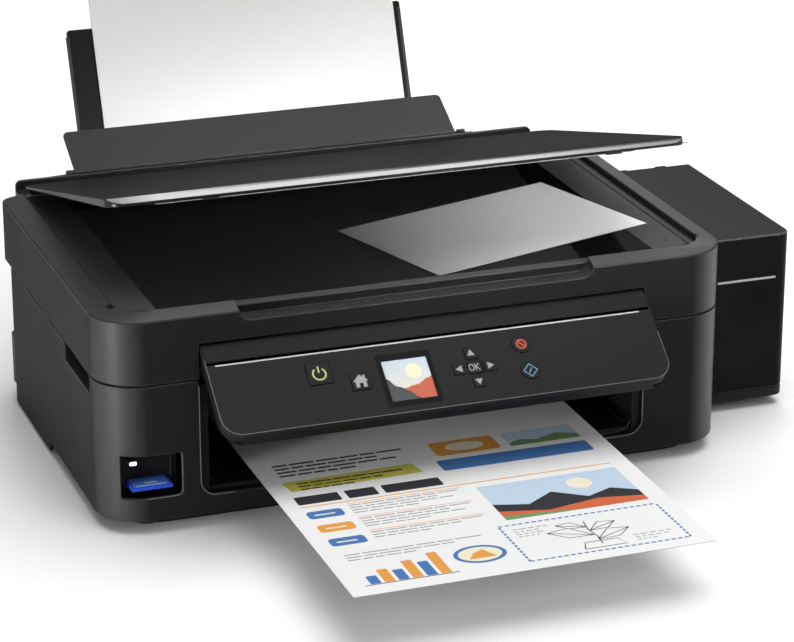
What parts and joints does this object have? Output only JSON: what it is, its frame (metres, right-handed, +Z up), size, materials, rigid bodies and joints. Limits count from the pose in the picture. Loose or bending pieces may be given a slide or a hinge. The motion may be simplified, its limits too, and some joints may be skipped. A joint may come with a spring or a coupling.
{
  "type": "inkjet printer",
  "caption": "Charcoal inkjet printer and scanner with a half-open lid, tilting control panel, rear paper feeder and an ink tank box on its right side.",
  "frame": {"origin": "table height, under the middle of the whole machine with its paper in place", "axes": "X to the machine's right seen from its front, Y to its back, Z up"},
  "size_m": [0.459, 0.581, 0.3387],
  "materials": {
    "case_plastic": "fine textured charcoal plastic",
    "inner_plastic": "plain black plastic",
    "grey_plastic": "plain grey plastic",
    "foot_rubber": "matt rubber",
    "steel": "bright sheet steel",
    "card_blue": "satin blue plastic",
    "glass": "clear float glass",
    "photo_paper": "glossy coated paper",
    "white_paper": "plain white paper",
    "mat_white": "white backing sheet over foam",
    "panel_film": "dark grey film with a fine hairline",
    "screen_glass": "black display window",
    "key_plastic": "satin dark grey",
    "roller_rubber": "matt rubber over steel",
    "gear_plastic": "natural acetal",
    "brass": "turned brass",
    "belt_rubber": "toothed belt",
    "board_green": "circuit board",
    "tank_gloss": "glossy black front, satin top",
    "tank_clear": "milky plastic",
    "cap_k": "black stopper",
    "cap_c": "blue stopper",
    "cap_m": "magenta stopper",
    "cap_y": "yellow stopper",
    "tube_plastic": "clear tubing on a plain block"
  },
  "bodies": {
    "base": {"lower_case": "case_plastic", "base_pan": "inner_plastic", "rubber_feet": "foot_rubber", "case_screws": "steel", "card_reader": "inner_plastic", "power_unit": "case_plastic", "output_frame": "inner_plastic", "feeder_housing": "case_plastic", "main_frame": "steel", "guide_rail": "steel", "platen": "inner_plastic", "main_board": "board_green", "capping_station": "grey_plastic", "carriage_motor": "steel", "feed_motor": "steel", "drive_belt": "belt_rubber", "ink_tubes": "tube_plastic", "tank_case": "grey_plastic", "ink_tanks": "tank_clear"},
    "scanner": {"scanner_case": "case_plastic", "scanner_pan": "inner_plastic", "scan_glass": "glass", "photo_sheet": "photo_paper"},
    "scan_bar": {"scan_bar": "inner_plastic"},
    "lid": {"lid_shell": "case_plastic", "lid_mat": "mat_white"},
    "panel": {"panel_front": "panel_film", "panel_back": "inner_plastic", "display": "screen_glass"},
    "output_tray": {"output_tray": "inner_plastic"},
    "feeder_flap": {"feeder_flap": "case_plastic"},
    "paper_support": {"paper_support": "case_plastic"},
    "edge_guide": {"edge_guide": "inner_plastic"},
    "feed_roller": {"feed_roller": "steel"},
    "exit_roller": {"exit_roller": "roller_rubber"},
    "transfer_gear": {"transfer_gear": "gear_plastic"},
    "motor_pinion": {"motor_pinion": "brass"},
    "pinch_roller": {"pinch_roller": "roller_rubber"},
    "pickup_roller": {"pickup_roller": "roller_rubber"},
    "carriage": {"carriage": "inner_plastic", "print_head": "steel"},
    "motor_pulley": {"motor_pulley": "brass"},
    "idler_pulley": {"idler_pulley": "gear_plastic"},
    "tank_cover": {"tank_cover": "tank_gloss"},
    "memory_card": {"memory_card": "card_blue"},
    "blank_sheets": {"blank_sheets": "white_paper"},
    "printed_sheet": {"printed_sheet": "white_paper"},
    "key_power": {"key_power": "key_plastic"},
    "key_home": {"key_home": "key_plastic"},
    "key_up": {"key_up": "key_plastic"},
    "key_down": {"key_down": "key_plastic"},
    "key_left": {"key_left": "key_plastic"},
    "key_right": {"key_right": "key_plastic"},
    "key_ok": {"key_ok": "key_plastic"},
    "key_stop": {"key_stop": "key_plastic"},
    "key_start": {"key_start": "key_plastic"},
    "cap_black": {"cap_black": "cap_k"},
    "cap_cyan": {"cap_cyan": "cap_c"},
    "cap_magenta": {"cap_magenta": "cap_m"},
    "cap_yellow": {"cap_yellow": "cap_y"}
  },
  "joints": [
    {"name": "scanner_lift", "type": "hinge", "parent": "base", "child": "scanner", "pos_m": [-0.0345, 0.14349, 0.12], "axis": [-1, 0, 0], "range_deg": [0, 20]},
    {"name": "lid_hinge", "type": "hinge", "parent": "scanner", "child": "lid", "pos_m": [-0.0345, 0.15149, 0.126], "axis": [-1, 0, 0], "range_deg": [-14, 46]},
    {"name": "scan_bar_slide", "type": "slide", "parent": "scanner", "child": "scan_bar", "axis": [1, 0, 0], "range_m": [0, 0.315]},
    {"name": "panel_tilt", "type": "hinge", "parent": "base", "child": "panel", "pos_m": [-0.0345, -0.10801, 0.102], "axis": [-1, 0, 0], "range_deg": [-51.6, 0]},
    {"name": "tray_slide", "type": "slide", "parent": "base", "child": "output_tray", "axis": [0, -1, 0], "range_m": [0, 0.06]},
    {"name": "flap_hinge", "type": "hinge", "parent": "base", "child": "feeder_flap", "pos_m": [-0.0345, 0.17749, 0.1275], "axis": [1, 0, 0], "range_deg": [0, 50]},
    {"name": "support_slide", "type": "slide", "parent": "base", "child": "paper_support", "axis": [0, 0.3633, 0.9317], "range_m": [-0.036, 0]},
    {"name": "guide_slide", "type": "slide", "parent": "base", "child": "edge_guide", "axis": [1, 0, 0], "range_m": [-0.009, 0]},
    {"name": "feed_spin", "type": "hinge", "parent": "base", "child": "feed_roller", "pos_m": [-0.0345, 0.04649, 0.0257], "axis": [1, 0, 0], "continuous": true},
    {"name": "exit_spin", "type": "hinge", "parent": "base", "child": "exit_roller", "pos_m": [-0.0345, -0.00851, 0.0257], "axis": [1, 0, 0], "continuous": true},
    {"name": "transfer_spin", "type": "hinge", "parent": "base", "child": "transfer_gear", "pos_m": [-0.0345, 0.01899, 0.03426], "axis": [1, 0, 0], "continuous": true},
    {"name": "pinion_spin", "type": "hinge", "parent": "base", "child": "motor_pinion", "pos_m": [-0.0345, 0.06249, 0.0257], "axis": [1, 0, 0], "continuous": true},
    {"name": "pinch_spin", "type": "hinge", "parent": "base", "child": "pinch_roller", "pos_m": [-0.0345, 0.04649, 0.03755], "axis": [1, 0, 0], "continuous": true},
    {"name": "pickup_spin", "type": "hinge", "parent": "base", "child": "pickup_roller", "pos_m": [-0.0345, 0.17791, 0.08065], "axis": [1, 0, 0], "continuous": true},
    {"name": "carriage_slide", "type": "slide", "parent": "base", "child": "carriage", "axis": [1, 0, 0], "range_m": [-0.25, 0]},
    {"name": "motor_pulley_spin", "type": "hinge", "parent": "base", "child": "motor_pulley", "pos_m": [0.1155, 0.05149, 0.066], "axis": [0, 1, 0], "range_deg": [-2120, 20]},
    {"name": "idler_pulley_spin", "type": "hinge", "parent": "base", "child": "idler_pulley", "pos_m": [-0.1845, 0.05149, 0.066], "axis": [0, 1, 0], "range_deg": [-2120, 20]},
    {"name": "tank_cover_hinge", "type": "hinge", "parent": "base", "child": "tank_cover", "pos_m": [0.1957, 0.10324, 0.109], "axis": [-1, 0, 0], "range_deg": [0, 95]},
    {"name": "card_slide", "type": "slide", "parent": "base", "child": "memory_card", "axis": [0, -1, 0], "range_m": [0, 0.026]},
    {"name": "blank_sheets_lift", "type": "slide", "parent": "base", "child": "blank_sheets", "axis": [0, 0.3633, 0.9317], "range_m": [0, 0.12]},
    {"name": "printed_sheet_pull", "type": "slide", "parent": "base", "child": "printed_sheet", "axis": [0, -1, 0], "range_m": [0, 0.13]},
    {"name": "key_power_press", "type": "slide", "parent": "panel", "child": "key_power", "axis": [0, 0.6211, -0.7837], "range_m": [0, 0.0007], "stiffness_N_per_m": 250},
    {"name": "key_home_press", "type": "slide", "parent": "panel", "child": "key_home", "axis": [0, 0.6211, -0.7837], "range_m": [0, 0.0007], "stiffness_N_per_m": 250},
    {"name": "key_up_press", "type": "slide", "parent": "panel", "child": "key_up", "axis": [0, 0.6211, -0.7837], "range_m": [0, 0.0007], "stiffness_N_per_m": 250},
    {"name": "key_down_press", "type": "slide", "parent": "panel", "child": "key_down", "axis": [0, 0.6211, -0.7837], "range_m": [0, 0.0007], "stiffness_N_per_m": 250},
    {"name": "key_left_press", "type": "slide", "parent": "panel", "child": "key_left", "axis": [0, 0.6211, -0.7837], "range_m": [0, 0.0007], "stiffness_N_per_m": 250},
    {"name": "key_right_press", "type": "slide", "parent": "panel", "child": "key_right", "axis": [0, 0.6211, -0.7837], "range_m": [0, 0.0007], "stiffness_N_per_m": 250},
    {"name": "key_ok_press", "type": "slide", "parent": "panel", "child": "key_ok", "axis": [0, 0.6211, -0.7837], "range_m": [0, 0.0007], "stiffness_N_per_m": 250},
    {"name": "key_stop_press", "type": "slide", "parent": "panel", "child": "key_stop", "axis": [0, 0.6211, -0.7837], "range_m": [0, 0.0007], "stiffness_N_per_m": 250},
    {"name": "key_start_press", "type": "slide", "parent": "panel", "child": "key_start", "axis": [0, 0.6211, -0.7837], "range_m": [0, 0.0007], "stiffness_N_per_m": 250},
    {"name": "cap_black_lift", "type": "slide", "parent": "base", "child": "cap_black", "axis": [0, 0, 1], "range_m": [0, 0.015]},
    {"name": "cap_cyan_lift", "type": "slide", "parent": "base", "child": "cap_cyan", "axis": [0, 0, 1], "range_m": [0, 0.015]},
    {"name": "cap_magenta_lift", "type": "slide", "parent": "base", "child": "cap_magenta", "axis": [0, 0, 1], "range_m": [0, 0.015]},
    {"name": "cap_yellow_lift", "type": "slide", "parent": "base", "child": "cap_yellow", "axis": [0, 0, 1], "range_m": [0, 0.015]}
  ],
  "couplings": [
    {"joint": "exit_spin", "follows": "feed_spin", "ratio": 1},
    {"joint": "transfer_spin", "follows": "feed_spin", "ratio": -0.63636},
    {"joint": "pinion_spin", "follows": "feed_spin", "ratio": -2.3333},
    {"joint": "pinch_spin", "follows": "feed_spin", "ratio": -1.75},
    {"joint": "motor_pulley_spin", "follows": "carriage_slide", "rad_per_m": 147.06},
    {"joint": "idler_pulley_spin", "follows": "carriage_slide", "rad_per_m": 147.06}
  ]
}
